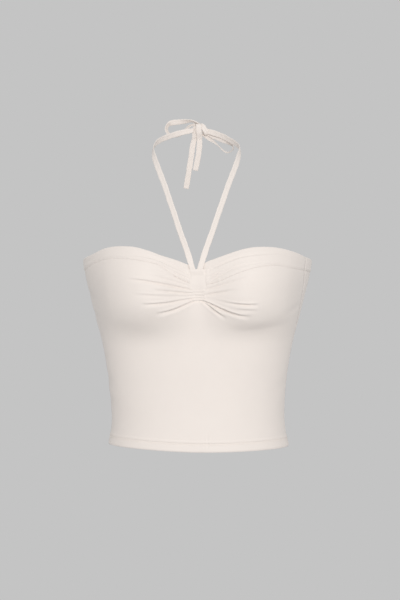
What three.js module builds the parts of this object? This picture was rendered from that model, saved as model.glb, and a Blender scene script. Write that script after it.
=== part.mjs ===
// Halter neck top in smooth jersey, in the hollow form it has when it is worn.
// Millimetres, +Z up, the front faces -Y. The origin is at the nape, on the inner face of the knot.
// Every height is given as its drop below the nape.

import * as THREE from "three";
import { mergeVertices } from "three/addons/utils/BufferGeometryUtils.js";

// Driving dimensions
const torsoMiddle = -74;
const squareness = 2.2;
const clothWall = 1.5;
const hemWall = 2.4;
const hemTurn = 14;
const bandWall = 2.2;
const bandRows = [0.35, 0.7, 1];
const bandCrown = [
  { down: 0, in: 0.8 },
  { down: 0.45, in: 0.3 },
  { down: 1.1, in: 0 },
];
const seamGap = 0.3;
const leftSeam = -96;
const gatherHalf = 5;
const cupAngle = 30;
const hemDrop = { side: 413.5, frontDip: 4.5, tilt: 1.25 };

// The gathers are densest at the centre front, so the columns of the front close up there
const frontColumns = 24;
const columnCrowding = 1.35;
const backColumns = 24;

// Half-width and depths of the torso at each level
const levels = [
  { drop: 150, half: 150, front: 90, back: 90 },
  { drop: 180, half: 148, front: 93, back: 93 },
  { drop: 200, half: 144.5, front: 95, back: 93 },
  { drop: 220, half: 139.5, front: 95, back: 92 },
  { drop: 250, half: 132, front: 93, back: 90 },
  { drop: 280, half: 124, front: 90, back: 86 },
  { drop: 312, half: 118, front: 88, back: 82 },
  { drop: 345, half: 114, front: 86, back: 79 },
  { drop: 380, half: 112, front: 86, back: 81 },
  { drop: 404, half: 114.5, front: 87, back: 86 },
  { drop: 420, half: 118.5, front: 88, back: 90.5 },
];

// Each cup is a soft mound, steeper towards the centre front and below
const cup = {
  x: 78,
  drop: 215,
  lift: 38,
  inner: 40,
  outer: 46,
  above: 48,
  below: 40,
  underEase: 1.5,
  roundness: 1.2,
  turn: 0.5,
};

// Angle of the right side seam round the body, from the centre front, at each level
const rightSeam = [
  { drop: 190, angle: 74 },
  { drop: 220, angle: 77 },
  { drop: 260, angle: 81 },
  { drop: 320, angle: 84 },
  { drop: 370, angle: 84 },
  { drop: 420, angle: 82 },
];

// The neckline: the band's top edge, and the seam between band and panel, round the body
const frontEdge = [
  { angle: -96, top: 179, seam: 193 },
  { angle: -84, top: 175, seam: 190 },
  { angle: -72, top: 170, seam: 183 },
  { angle: -60, top: 161.5, seam: 176 },
  { angle: -46, top: 161, seam: 177 },
  { angle: -35, top: 166.5, seam: 180.5 },
  { angle: -27, top: 172, seam: 185 },
  { angle: -16, top: 178, seam: 196 },
  { angle: -6, top: 184, seam: 206 },
  { angle: 0, top: 187, seam: 208 },
  { angle: 6, top: 182, seam: 207 },
  { angle: 14, top: 177, seam: 203 },
  { angle: 23, top: 170.5, seam: 196 },
  { angle: 33, top: 164.5, seam: 187 },
  { angle: 42, top: 161.5, seam: 184 },
  { angle: 54, top: 162, seam: 184 },
  { angle: 65, top: 167, seam: 188.5 },
  { angle: 74, top: 173, seam: 190.5 },
];
const backEdge = [
  { angle: 74, top: 173, seam: 190.5 },
  { angle: 92, top: 178, seam: 194 },
  { angle: 120, top: 187, seam: 203 },
  { angle: 150, top: 195, seam: 211 },
  { angle: 180, top: 198, seam: 214 },
  { angle: 210, top: 195, seam: 211 },
  { angle: 240, top: 187, seam: 202 },
  { angle: 264, top: 179, seam: 193 },
];

// Creases that fan out from the centre front. Each starts at the drop "centre" beside the keeper,
// crosses the cup at "left" or "right" and meets the side seam at the share "side" of its length.
const creases = [
  { centre: 213, left: 204, right: 200, side: 0.04, deepLeft: 1.7, deepRight: 1.5, farLeft: 46, farRight: 38 },
  { centre: 219, left: 215, right: 213, side: 0.09, deepLeft: 1.5, deepRight: 1.4, farLeft: 34, farRight: 30 },
  { centre: 223, left: 222, right: 232, side: 0.14, deepLeft: 1.2, deepRight: 1.9, farLeft: 40, farRight: 42 },
  { centre: 227, left: 232, right: 245, side: 0.19, deepLeft: 1.9, deepRight: 2.6, farLeft: 38, farRight: 40 },
  { centre: 231.5, left: 244, right: 256, side: 0.24, deepLeft: 2.7, deepRight: 2.3, farLeft: 34, farRight: 26 },
];
const ridgeShare = 0.45;
const ridgeEase = 4;
const fadeFrom = 0.35;
const seamEase = 1;
const smoothLine = { centre: 238, left: 258, right: 268, side: 0.3 };
const rowsBelow = 12;

// Keeper at the centre front, a folded strip over the gathers
const keeper = {
  from: -5.6,
  to: 6.6,
  top: 189.6,
  bottom: 214,
  wall: 2,
  thinEdge: 0.6,
  clear: 0.5,
  columns: 8,
  rows: 4,
};

// Flat tube that makes the straps, the loops and the tails of the bow
const tube = { width: 7.4, wall: 2, corner: 0.7 };
const strapSteps = 48;
const loopSteps = 44;
const tailSteps = 16;

// Routes, in order along the tube. "across" is the direction of its width at that point.
const strapRight = [
  { x: 2.8, y: -175.2, z: -188.4, across: [1, 0, 0] },
  { x: 3.1, y: -174.8, z: -186, across: [1, 0, 0] },
  { x: 10.7, y: -168.4, z: -165, across: [1, 0.3, 0.1] },
  { x: 18.2, y: -161, z: -144, across: [1, 0.45, 0.2] },
  { x: 25.5, y: -152.5, z: -122, across: [1, 0.55, 0.2] },
  { x: 32.5, y: -142, z: -101.7, across: [1, 0.65, 0.2] },
  { x: 38.5, y: -130, z: -84, across: [1, 0.75, 0.2] },
  { x: 44.2, y: -117, z: -68.8, across: [1, 0.8, 0.1] },
  { x: 49.5, y: -102, z: -54, across: [0.9, 1, 0] },
  { x: 53.2, y: -86, z: -42, across: [0.6, 1, -0.4] },
  { x: 55.4, y: -70, z: -33.5, across: [0.3, 0.8, -0.9] },
  { x: 54.6, y: -54, z: -27.5, across: [0.15, 0.4, -1] },
  { x: 49.8, y: -38, z: -21.5, across: [0, 0.2, -1] },
  { x: 42.2, y: -23.5, z: -15.6, across: [0, 0, -1] },
  { x: 33.3, y: -12, z: -9.8, across: [0, 0, -1] },
  { x: 23.3, y: -3.8, z: -5.2, across: [0, 0, -1] },
  { x: 14, y: 0.8, z: -2.2, across: [0, 0, -1] },
  { x: 6.3, y: 2.6, z: -0.5, across: [0, 0, -1] },
];
const strapLeft = [
  { x: -5.6, y: -175.6, z: -188.4, across: [-1, 0, 0] },
  { x: -6, y: -175.2, z: -186, across: [-1, 0, 0] },
  { x: -13.6, y: -168.4, z: -165, across: [-1, 0.3, 0.1] },
  { x: -21.2, y: -161, z: -144, across: [-1, 0.45, 0.2] },
  { x: -28.4, y: -152.5, z: -122, across: [-1, 0.55, 0.2] },
  { x: -35.3, y: -142, z: -101.7, across: [-1, 0.65, 0.2] },
  { x: -41.1, y: -130, z: -84, across: [-1, 0.75, 0.2] },
  { x: -46.2, y: -117, z: -68.8, across: [-1, 0.8, 0.1] },
  { x: -51.2, y: -102, z: -54, across: [-0.9, 1, 0] },
  { x: -55.1, y: -86, z: -42, across: [-0.6, 1, -0.4] },
  { x: -57.4, y: -70, z: -33, across: [-0.3, 0.8, -0.9] },
  { x: -57, y: -54, z: -26.5, across: [-0.15, 0.4, -1] },
  { x: -52.8, y: -38, z: -19.5, across: [0, 0.2, -1] },
  { x: -44.8, y: -23.5, z: -13.6, across: [0, 0, -1] },
  { x: -35.3, y: -12, z: -9, across: [0, 0, -1] },
  { x: -24.6, y: -3.8, z: -5, across: [0, 0, -1] },
  { x: -14.5, y: 0.8, z: -2.2, across: [0, 0, -1] },
  { x: -5.6, y: 2.6, z: -0.5, across: [0, 0, -1] },
];
const loopLeft = [
  { x: 0.5, y: 5, z: 10.1, across: [0, 1, -0.25] },
  { x: -4.8, y: 5.4, z: 11.7, across: [0, 1, -0.3] },
  { x: -10.2, y: 6.2, z: 12.5, across: [0, 0.95, -0.4] },
  { x: -18.2, y: 7.6, z: 11.9, across: [0, 0.7, -0.75] },
  { x: -26.3, y: 8.8, z: 11.2, across: [0, 0.35, -1] },
  { x: -34.2, y: 9.8, z: 10.3, across: [0.1, 0.4, -0.95] },
  { x: -39.2, y: 10.6, z: 8, across: [0.35, 0.8, -0.5] },
  { x: -41.8, y: 11.6, z: 3.4, across: [0.6, 0.8, 0] },
  { x: -41, y: 12.4, z: -1.8, across: [0.5, 0.85, 0.15] },
  { x: -37, y: 13, z: -5.8, across: [0.3, 0.87, 0.4] },
  { x: -31, y: 13, z: -7.6, across: [0, 0.87, 0.45] },
  { x: -25, y: 12.4, z: -6.6, across: [-0.1, 0.9, 0.4] },
  { x: -19.6, y: 11.6, z: -3.4, across: [-0.25, 0.9, 0.35] },
  { x: -14.9, y: 10.6, z: 0.4, across: [-0.3, 0.87, 0.4] },
  { x: -11.3, y: 9.6, z: 3.6, across: [-0.3, 0.87, 0.35] },
  { x: -7.6, y: 8.2, z: 6.4, across: [-0.2, 0.9, 0.3] },
];
const loopRight = [
  { x: 7.2, y: 5.8, z: -0.2, across: [0.1, 0.1, -1] },
  { x: 14, y: 3.7, z: -4, across: [0, -0.05, -1] },
  { x: 21.5, y: 0.1, z: -8.2, across: [-0.1, -0.1, -1] },
  { x: 29, y: -5, z: -12.2, across: [-0.2, -0.1, -1] },
  { x: 36.5, y: -11.2, z: -15.6, across: [-0.3, 0.3, -0.9] },
  { x: 43, y: -14.5, z: -19.4, across: [-0.4, 0.9, -0.3] },
  { x: 47.2, y: -14, z: -24.4, across: [0.15, 1, 0] },
  { x: 45.6, y: -11, z: -29.2, across: [0.15, 1, 0.1] },
  { x: 40, y: -7.6, z: -31, across: [0, 1, 0.25] },
  { x: 34.4, y: -4.4, z: -28, across: [-0.15, 1, 0.3] },
  { x: 28.2, y: -1, z: -22, across: [-0.15, 1, 0.25] },
  { x: 21.8, y: 2.4, z: -16.2, across: [0.3, 1, 0.4] },
  { x: 15.4, y: 5.2, z: -11.4, across: [0.6, 0.8, 0.7] },
  { x: 6.4, y: 7.4, z: -4.8, across: [0.7, 0.7, 0.8] },
];
const tailLeft = [
  { x: -2.8, y: 6.4, z: -4.9, across: [1, 0, 0.2] },
  { x: -5, y: 6.8, z: -14.5, across: [1, 0, 0.2] },
  { x: -6.9, y: 7.2, z: -22.7, across: [1, 0, 0.2] },
  { x: -8.6, y: 8, z: -35.9, across: [1, 0, 0.1] },
  { x: -10.8, y: 9.2, z: -49.1, across: [1, 0, 0.1] },
  { x: -12.6, y: 10.4, z: -60.9, across: [1, 0, 0.1] },
  { x: -15.5, y: 12.2, z: -78.2, across: [1, 0, 0.1] },
];
const tailRight = [
  { x: 2.4, y: 3.4, z: -5.2, across: [1, 0, 0] },
  { x: 2.7, y: 3.8, z: -14.5, across: [1, 0, 0] },
  { x: 2.3, y: 4.4, z: -22.7, across: [1, 0, 0.1] },
  { x: 0.7, y: 5.4, z: -35.9, across: [1, 0, 0.2] },
  { x: -3.1, y: 7, z: -54.2, across: [1, 0, 0.2] },
];

const knot = {
  x: 0.4,
  y: 4.8,
  z: 1.8,
  halfWide: 6,
  halfDeep: 4.8,
  halfTall: 6.6,
  fullness: 0.72,
  columns: 20,
  rows: 14,
};

const jersey = { color: 0xeee4db, roughness: 0.82, metalness: 0 };

// Smooth curve through the rows of a table
function smooth(rows, key, column, at) {
  const last = rows.length - 1;
  const slope = (i) => {
    const before = rows[Math.max(i - 1, 0)];
    const after = rows[Math.min(i + 1, last)];
    return (after[column] - before[column]) / (after[key] - before[key]);
  };
  let i = 0;
  while (i < last - 1 && rows[i + 1][key] < at) i += 1;
  const span = rows[i + 1][key] - rows[i][key];
  const t = THREE.MathUtils.clamp((at - rows[i][key]) / span, 0, 1);
  const start = rows[i][column] * (1 + 2 * t) * (1 - t) ** 2 + slope(i) * span * t * (1 - t) ** 2;
  const end = rows[i + 1][column] * t * t * (3 - 2 * t) - slope(i + 1) * span * t * t * (1 - t);
  return start + end;
}

// Outer face of the cloth without its folds, at an angle round the body and a drop
function clothPoint(angle, drop) {
  const turn = THREE.MathUtils.degToRad(angle);
  const side = Math.sin(turn);
  const ahead = Math.cos(turn);
  const half = smooth(levels, "drop", "half", drop);
  const deep = smooth(levels, "drop", ahead > 0 ? "front" : "back", drop);
  const share = Math.abs(side / half) ** squareness + Math.abs(ahead / deep) ** squareness;
  const radius = share ** (-1 / squareness);
  const x = radius * side;
  const outward = Math.abs(x) - cup.x;
  const below = drop - cup.drop;
  const across = outward / (outward < 0 ? cup.inner : cup.outer);
  const down = below < 0 ? below / cup.above : (below / cup.below) ** cup.underEase;
  const away = ((across ** 2 + down ** 2) / 2) ** cup.roundness;
  const mound = cup.lift * Math.exp(-away) * THREE.MathUtils.smoothstep(ahead, 0, cup.turn);
  return new THREE.Vector3(x, torsoMiddle - radius * ahead - mound, -drop);
}

// Direction straight out of the cloth there
function clothNormal(angle, drop) {
  const step = 0.5;
  const round = clothPoint(angle + step, drop).sub(clothPoint(angle - step, drop));
  const up = clothPoint(angle, drop - step).sub(clothPoint(angle, drop + step));
  return round.cross(up).normalize();
}

function raised(angle, drop, height) {
  return clothPoint(angle, drop).addScaledVector(clothNormal(angle, drop), height);
}

// Closed body through a row of sections. Each section has an outer line and an inner line of points.
function loft(sections) {
  const deep = sections[0].outer.length;
  const vertices = [];
  sections.forEach(({ outer, inner }) => [...outer, ...inner].forEach((p) => vertices.push(p.x, p.y, p.z)));
  const at = (i, k, inside) => i * 2 * deep + (inside ? deep : 0) + k;
  const faces = [];
  const quad = (a, b, c, d) => faces.push(a, b, c, a, c, d);
  const last = sections.length - 1;
  for (let i = 0; i < last; i += 1) {
    for (let k = 0; k < deep - 1; k += 1) {
      quad(at(i, k), at(i, k + 1), at(i + 1, k + 1), at(i + 1, k));
      quad(at(i, k, true), at(i + 1, k, true), at(i + 1, k + 1, true), at(i, k + 1, true));
    }
    quad(at(i, 0, true), at(i, 0), at(i + 1, 0), at(i + 1, 0, true));
    quad(at(i, deep - 1), at(i, deep - 1, true), at(i + 1, deep - 1, true), at(i + 1, deep - 1));
  }
  for (let k = 0; k < deep - 1; k += 1) {
    quad(at(0, k), at(0, k, true), at(0, k + 1, true), at(0, k + 1));
    quad(at(last, k), at(last, k + 1), at(last, k + 1, true), at(last, k, true));
  }
  return outwardFacing(vertices, faces);
}

// The same body with its faces pointing out
function outwardFacing(vertices, faces) {
  const corner = (i) => new THREE.Vector3(...vertices.slice(3 * i, 3 * i + 3));
  let volume = 0;
  for (let i = 0; i < faces.length; i += 3) {
    const [a, b, c] = faces.slice(i, i + 3).map(corner);
    volume += a.dot(b.cross(c));
  }
  const geometry = new THREE.BufferGeometry();
  geometry.setAttribute("position", new THREE.Float32BufferAttribute(vertices, 3));
  geometry.setIndex(volume < 0 ? faces.reverse() : faces);
  geometry.computeVertexNormals();
  return geometry;
}

// Half of a side seam's gap, as an angle at the narrow waist
const waist = Math.min(...levels.map((level) => level.half));
const seamAngle = THREE.MathUtils.radToDeg(seamGap / 2 / waist);

// Angles of the columns along the neckline, crowded towards the centre front on the front
const frontTurns = Array.from({ length: 2 * frontColumns + 1 }, (_, i) => {
  const step = i / frontColumns - 1;
  const end = step < 0 ? -leftSeam : rightSeam[0].angle;
  return Math.sign(step) * Math.abs(step) ** columnCrowding * (end - seamAngle);
});
const backTurns = Array.from({ length: backColumns + 1 }, (_, i) =>
  THREE.MathUtils.lerp(rightSeam[0].angle + seamAngle, 360 + leftSeam - seamAngle, i / backColumns),
);

// The hem dips at the centre front, and hangs a little lower on the side of the right seam
function hemAt(angle) {
  const turn = THREE.MathUtils.degToRad(angle);
  const ahead = Math.max(Math.cos(turn), 0);
  return hemDrop.side + hemDrop.frontDip * ahead ** 2 + hemDrop.tilt * (1 + Math.sin(turn));
}

// Drop of a line of the front that starts at the keeper, crosses the cup and runs on to the side
function fanned(line, angle) {
  const seam = smooth(frontEdge, "angle", "seam", angle);
  const atSide = seam + line.side * (hemAt(angle) - seam);
  const atCup = angle < 0 ? line.left : line.right;
  const away = Math.abs(angle);
  const rise = THREE.MathUtils.clamp((away - gatherHalf) / (cupAngle - gatherHalf), 0, 1);
  const onCup = THREE.MathUtils.lerp(line.centre, atCup, Math.sin((rise * Math.PI) / 2));
  const end = angle < 0 ? -leftSeam : rightSeam[0].angle;
  return THREE.MathUtils.lerp(onCup, atSide, THREE.MathUtils.smoothstep(away, cupAngle, end - seamEase));
}

// How much a crease is sunk there: full beside the keeper, gone at its far end
function sunk(crease, angle) {
  const away = Math.abs(angle);
  const far = angle < 0 ? crease.farLeft : crease.farRight;
  const deep = angle < 0 ? crease.deepLeft : crease.deepRight;
  return deep * (1 - THREE.MathUtils.smoothstep(away, far * fadeFrom, far));
}

// Rows of the front from its top seam to the hem: where each lies and how far it is raised
function frontRows() {
  const atSeam = (angle) => smooth(frontEdge, "angle", "seam", angle) + seamGap / 2;
  const rows = [{ side: 0, drop: atSeam, raise: () => 0 }];
  const lines = [...creases, smoothLine];
  const between = (a, b, t) => (angle) => THREE.MathUtils.lerp(a(angle), b(angle), t);
  const ridge = (crease) => (angle) => {
    const clear = THREE.MathUtils.smoothstep(Math.abs(angle), gatherHalf, gatherHalf + ridgeEase);
    return clear * ridgeShare * sunk(crease, angle);
  };
  lines.forEach((line, i) => {
    const above = rows[rows.length - 1];
    const here = (angle) => fanned(line, angle);
    const crease = creases[Math.min(i, creases.length - 1)];
    [1 / 3, 2 / 3].forEach((t) => {
      const side = THREE.MathUtils.lerp(above.side, line.side, t);
      rows.push({ side, drop: between(above.drop, here, t), raise: ridge(crease) });
    });
    rows.push({ side: line.side, drop: here, raise: (angle) => (i < creases.length ? -sunk(crease, angle) : 0) });
  });
  const start = rows[rows.length - 1];
  for (let i = 1; i <= rowsBelow; i += 1) {
    const t = i / rowsBelow;
    const side = THREE.MathUtils.lerp(start.side, 1, t);
    rows.push({ side, drop: between(start.drop, hemAt, t), raise: () => 0 });
  }
  return rows;
}

// A wall is thicker where the hem is turned up inside
function wallAt(angle, drop) {
  return drop > hemAt(angle) - hemTurn ? hemWall : clothWall;
}

// Front and back panel share their rows at the side seams, which swing forward at the underarm
const rows = frontRows();
const seamTop = frontEdge[frontEdge.length - 1].seam;
const seamAt = (row) => {
  const drop = THREE.MathUtils.lerp(seamTop, hemDrop.side, row.side);
  return smooth(rightSeam, "drop", "angle", drop);
};

// The wall of a panel at one column of one row
function wallPoints(angle, drop, height) {
  const wall = wallAt(angle, drop);
  return { outer: raised(angle, drop, height), inner: raised(angle, drop, height - wall) };
}

function frontPanel() {
  const grid = rows.map((row) => {
    const swing = seamAt(row) / rightSeam[0].angle;
    return frontTurns.map((turn) => {
      const angle = turn > 0 ? turn * swing : turn;
      return wallPoints(angle, row.drop(turn), row.raise(turn));
    });
  });
  return panel(grid);
}

function backPanel() {
  const end = 360 + leftSeam;
  const grid = rows.map((row) => {
    const swing = (end - seamAt(row)) / (end - rightSeam[0].angle);
    return backTurns.map((turn) => {
      const top = smooth(backEdge, "angle", "seam", turn) + seamGap / 2;
      return wallPoints(end - (end - turn) * swing, THREE.MathUtils.lerp(top, hemAt(turn), row.side), 0);
    });
  });
  return panel(grid);
}

function panel(grid) {
  const columns = grid[0].map((_, i) => ({
    outer: grid.map((row) => row[i].outer),
    inner: grid.map((row) => row[i].inner),
  }));
  return loft(columns);
}

// Band of double cloth along the neckline, with a rounded top edge
function band(edge, angles) {
  const sections = angles.map((angle) => {
    const top = smooth(edge, "angle", "top", angle);
    const bottom = smooth(edge, "angle", "seam", angle) - seamGap / 2;
    const downTo = bandRows.map((share) => THREE.MathUtils.lerp(top, bottom, share));
    const crown = bandCrown.map((step) => ({ drop: top + step.down, in: step.in }));
    const line = [...crown, ...downTo.map((drop) => ({ drop, in: 0 }))];
    return {
      outer: line.map((step) => raised(angle, step.drop, -step.in)),
      inner: line.map((step) => raised(angle, step.drop, step.in - bandWall)),
    };
  });
  return loft(sections);
}

function keeperPatch() {
  const sections = [];
  for (let i = 0; i <= keeper.columns; i += 1) {
    const angle = THREE.MathUtils.lerp(keeper.from, keeper.to, i / keeper.columns);
    const drops = Array.from({ length: keeper.rows + 1 }, (_, k) =>
      THREE.MathUtils.lerp(keeper.top, keeper.bottom, k / keeper.rows),
    );
    const edge = i === 0 || i === keeper.columns;
    const share = (k) => (edge || k === 0 || k === keeper.rows ? keeper.thinEdge : 1);
    const outerHeight = (k) => keeper.clear + share(k) * keeper.wall;
    sections.push({
      outer: drops.map((drop, k) => raised(angle, drop, outerHeight(k))),
      inner: drops.map((drop) => raised(angle, drop, keeper.clear)),
    });
  }
  return loft(sections);
}

// Flat tube swept along a route, with the corners of its section taken off
function flatTube(route, steps) {
  const path = new THREE.CatmullRomCurve3(route.map((row) => new THREE.Vector3(row.x, row.y, row.z)));
  const widths = new THREE.CatmullRomCurve3(route.map((row) => new THREE.Vector3(...row.across).normalize()));
  const half = tube.width / 2;
  const thick = tube.wall / 2;
  const profile = [
    { across: -half, out: thick - tube.corner },
    { across: -half + tube.corner, out: thick },
    { across: half - tube.corner, out: thick },
    { across: half, out: thick - tube.corner },
  ];
  const sections = [];
  for (let i = 0; i <= steps; i += 1) {
    const place = path.getPoint(i / steps);
    const along = path.getTangent(i / steps);
    const out = widths.getPoint(i / steps).cross(along).normalize();
    const across = along.clone().cross(out);
    const point = (step, side) =>
      place.clone().addScaledVector(across, step.across).addScaledVector(out, side * step.out);
    sections.push({
      outer: profile.map((step) => point(step, 1)),
      inner: profile.map((step) => point(step, -1)),
    });
  }
  return loft(sections);
}

// Tight lump of the tied tube, a ball squared off towards a block
function knotLump() {
  const ball = new THREE.SphereGeometry(1, knot.columns, knot.rows);
  ball.deleteAttribute("normal");
  ball.deleteAttribute("uv");
  const lump = mergeVertices(ball);
  const points = lump.attributes.position;
  const squared = (v) => Math.sign(v) * Math.abs(v) ** knot.fullness;
  for (let i = 0; i < points.count; i += 1) {
    const x = knot.x + knot.halfWide * squared(points.getX(i));
    const y = knot.y + knot.halfDeep * squared(points.getY(i));
    const z = knot.z + knot.halfTall * squared(points.getZ(i));
    points.setXYZ(i, x, y, z);
  }
  lump.computeVertexNormals();
  return lump;
}

function piece(name, geometry) {
  const mesh = new THREE.Mesh(geometry, new THREE.MeshStandardMaterial(jersey));
  mesh.name = name;
  return mesh;
}

const top = new THREE.Group();
top.add(
  piece("front_panel", frontPanel()),
  piece("back_panel", backPanel()),
  piece("front_band", band(frontEdge, frontTurns)),
  piece("back_band", band(backEdge, backTurns)),
  piece("centre_keeper", keeperPatch()),
  piece("strap_left", flatTube(strapLeft, strapSteps)),
  piece("strap_right", flatTube(strapRight, strapSteps)),
  piece("bow_knot", knotLump()),
  piece("bow_loop_left", flatTube(loopLeft, loopSteps)),
  piece("bow_loop_right", flatTube(loopRight, loopSteps)),
  piece("bow_tail_left", flatTube(tailLeft, tailSteps)),
  piece("bow_tail_right", flatTube(tailRight, tailSteps)),
);

export default top;
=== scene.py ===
import math

import bpy
import numpy as np
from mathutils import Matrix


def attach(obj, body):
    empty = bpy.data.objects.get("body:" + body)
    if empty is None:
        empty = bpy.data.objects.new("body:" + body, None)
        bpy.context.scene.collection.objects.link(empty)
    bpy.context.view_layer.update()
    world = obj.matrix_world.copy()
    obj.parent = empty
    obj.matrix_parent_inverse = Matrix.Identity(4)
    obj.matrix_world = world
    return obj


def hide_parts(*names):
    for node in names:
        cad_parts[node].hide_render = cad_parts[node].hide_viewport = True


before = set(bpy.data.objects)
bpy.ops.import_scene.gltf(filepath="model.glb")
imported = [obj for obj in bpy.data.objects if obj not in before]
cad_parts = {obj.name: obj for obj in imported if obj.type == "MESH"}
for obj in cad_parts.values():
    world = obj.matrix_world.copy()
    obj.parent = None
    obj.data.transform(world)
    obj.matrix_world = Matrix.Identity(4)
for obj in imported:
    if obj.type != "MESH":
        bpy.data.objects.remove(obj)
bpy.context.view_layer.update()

MM = 0.001

# Camera: level, a little right of the middle, 2.4 m in front of the middle of the torso
camera = bpy.data.objects.new("camera", bpy.data.cameras.new("camera"))
camera.data.sensor_width = 36
camera.data.lens = 110.8
camera.location = (0.00325, -2.474, -0.228)
camera.rotation_euler = (math.radians(90), 0, 0)
bpy.context.collection.objects.link(camera)
bpy.context.scene.camera = camera


# Colours are sRGB hex values
def linear(hex_colour):
    parts = [int(hex_colour[i : i + 2], 16) / 255 for i in (0, 2, 4)]
    return [p / 12.92 if p <= 0.04045 else ((p + 0.055) / 1.055) ** 2.4 for p in parts] + [1.0]


MILK_WHITE = "F0E8E2"
MILK_SHADE = "E8E0DA"
THREAD_WHITE = "F3ECE3"
STUDIO_GREY = "C4C4C4"
LAMP_WHITE = "FFFDFB"


def add_node(tree, kind, settings=None, links=None):
    """One node with its settings, and its inputs linked or set."""
    node = tree.nodes.new(kind)
    for name, value in (settings or {}).items():
        setattr(node, name, value)
    for name, value in (links or {}).items():
        if isinstance(value, bpy.types.NodeSocket):
            tree.links.new(value, node.inputs[name])
        else:
            node.inputs[name].default_value = value
    return node


# Even grey studio: the background and the floor have the one grey of a plain sweep
def grey_studio():
    world = bpy.data.worlds.new("grey studio")
    bpy.context.scene.world = world
    world.use_nodes = True
    world.node_tree.nodes["Background"].inputs["Color"].default_value = linear(STUDIO_GREY)
    world.node_tree.nodes["Background"].inputs["Strength"].default_value = 1.0
    bpy.context.scene.view_settings.view_transform = "Standard"


def pale_floor(height, size):
    # Painted floor, lit so evenly that no shade shows on it
    mesh = bpy.data.meshes.new("studio_floor")
    corners = [(-size, -size, height), (size, -size, height), (size, size, height), (-size, size, height)]
    mesh.from_pydata(corners, [], [(0, 1, 2, 3)])
    floor = bpy.data.objects.new("studio_floor", mesh)
    bpy.context.collection.objects.link(floor)
    paint = bpy.data.materials.new("pale_floor_paint")
    paint.use_nodes = True
    tree = paint.node_tree
    tree.nodes.clear()
    glow = add_node(tree, "ShaderNodeEmission", None, {"Color": linear(STUDIO_GREY)})
    add_node(tree, "ShaderNodeOutputMaterial", None, {"Surface": glow.outputs["Emission"]})
    mesh.materials.append(paint)


def soft_box(name, place, towards, size, power, colour):
    box = bpy.data.lights.new(name, "AREA")
    box.shape = "RECTANGLE"
    box.size, box.size_y = size
    box.energy = power
    box.color = linear(colour)[:3]
    lamp = bpy.data.objects.new(name, box)
    lamp.location = place
    aim = np.array(towards, float) - np.array(place, float)
    lamp.rotation_euler = (math.atan2(math.hypot(aim[0], aim[1]), -aim[2]), 0, math.atan2(-aim[0], aim[1]))
    bpy.context.collection.objects.link(lamp)


grey_studio()
pale_floor(-0.75, 4.0)
soft_box("front_softbox", (0.3, -4, 0.6), (0, -0.1, -0.25), (1.7, 1.7), 80, LAMP_WHITE)
soft_box("top_softbox", (0, -0.3, 1.5), (0, -0.07, -0.2), (1.2, 1.2), 2, LAMP_WHITE)
soft_box("rear_softbox", (0.2, 3, 0.8), (0, 0, -0.25), (0.7, 0.7), 8, LAMP_WHITE)

# Body of the top: half-width and depths of the torso at each drop below the nape
TORSO_MIDDLE = -74
SQUARENESS = 2.2
LEVELS = [
    (150, 150, 90, 90),
    (180, 148, 93, 93),
    (200, 144.5, 95, 93),
    (220, 139.5, 95, 92),
    (250, 132, 93, 90),
    (280, 124, 90, 86),
    (312, 118, 88, 82),
    (345, 114, 86, 79),
    (380, 112, 86, 81),
    (404, 114.5, 87, 86),
    (420, 118.5, 88, 90.5),
]
CUP = {
    "x": 78,
    "drop": 215,
    "lift": 38,
    "inner": 40,
    "outer": 46,
    "above": 48,
    "below": 40,
    "under": 1.5,
    "round": 1.2,
}

# The cloth bridges the middle between the cups in a curve of this radius
BRIDGE = 4

# Below the waist the top stands a little to +X. The shift sets in between these two drops.
LOWER_SHIFT = 1.1
SHIFT_BETWEEN = (330, 400)

# Walls, and the gap that stands for a seam
CLOTH_WALL = 1.5
HEM_WALL = 2.3
BAND_WALL = 2.2
SEWN_GAP = 0.06

# Lower edge: its drop at the side, its dip at the front and its tilt towards +X
HEM_SIDE = 413.5
HEM_DIP = 4.5
HEM_TILT = 1.25

# Side seams as angles round the body: the one at -X stands at the side, the other at each drop a little ahead
LEFT_SEAM = -96
RIGHT_SEAM = [(190, 74), (220, 77), (260, 81), (320, 84), (370, 84), (420, 82)]

# Neckline: angle round the body, drop of the band's top edge, drop of the seam under the band
FRONT_EDGE = [
    (-96, 179, 193),
    (-84, 175, 190),
    (-72, 170, 183),
    (-60, 161.5, 176),
    (-46, 161, 177),
    (-35, 166.5, 180.5),
    (-27, 172, 185),
    (-16, 178, 198.4),
    (-6, 184.5, 206.5),
    (0, 189.4, 209),
    (6, 181.2, 208.8),
    (14, 175.8, 205.8),
    (23, 170.3, 199),
    (33, 164.5, 191.8),
    (42, 161.5, 187),
    (54, 162, 184.4),
    (65, 167, 188.5),
    (74, 173, 190.5),
]
BACK_EDGE = [
    (74, 173, 190.5),
    (92, 178, 194),
    (120, 187, 203),
    (150, 195, 211),
    (180, 198, 214),
    (210, 195, 211),
    (240, 187, 202),
    (264, 179, 193),
]


def smooth(rows, column, at):
    """Smooth curve through one column of a table."""
    key = np.array([row[0] for row in rows], float)
    value = np.array([row[column] for row in rows], float)
    slope = np.empty(len(key))
    slope[1:-1] = (value[2:] - value[:-2]) / (key[2:] - key[:-2])
    slope[0] = (value[1] - value[0]) / (key[1] - key[0])
    slope[-1] = (value[-1] - value[-2]) / (key[-1] - key[-2])
    at = np.asarray(at, float)
    i = np.clip(np.searchsorted(key, at) - 1, 0, len(key) - 2)
    span = key[i + 1] - key[i]
    t = np.clip((at - key[i]) / span, 0, 1)
    start = (value[i] * (1 + 2 * t) + slope[i] * span * t) * (1 - t) ** 2
    end = (value[i + 1] * (3 - 2 * t) - slope[i + 1] * span * (1 - t)) * t**2
    return start + end


def ease(value, low, high):
    t = np.clip((value - low) / (high - low), 0, 1)
    return t * t * (3 - 2 * t)


def bell(value, width):
    return np.exp(-((value / width) ** 2))


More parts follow.
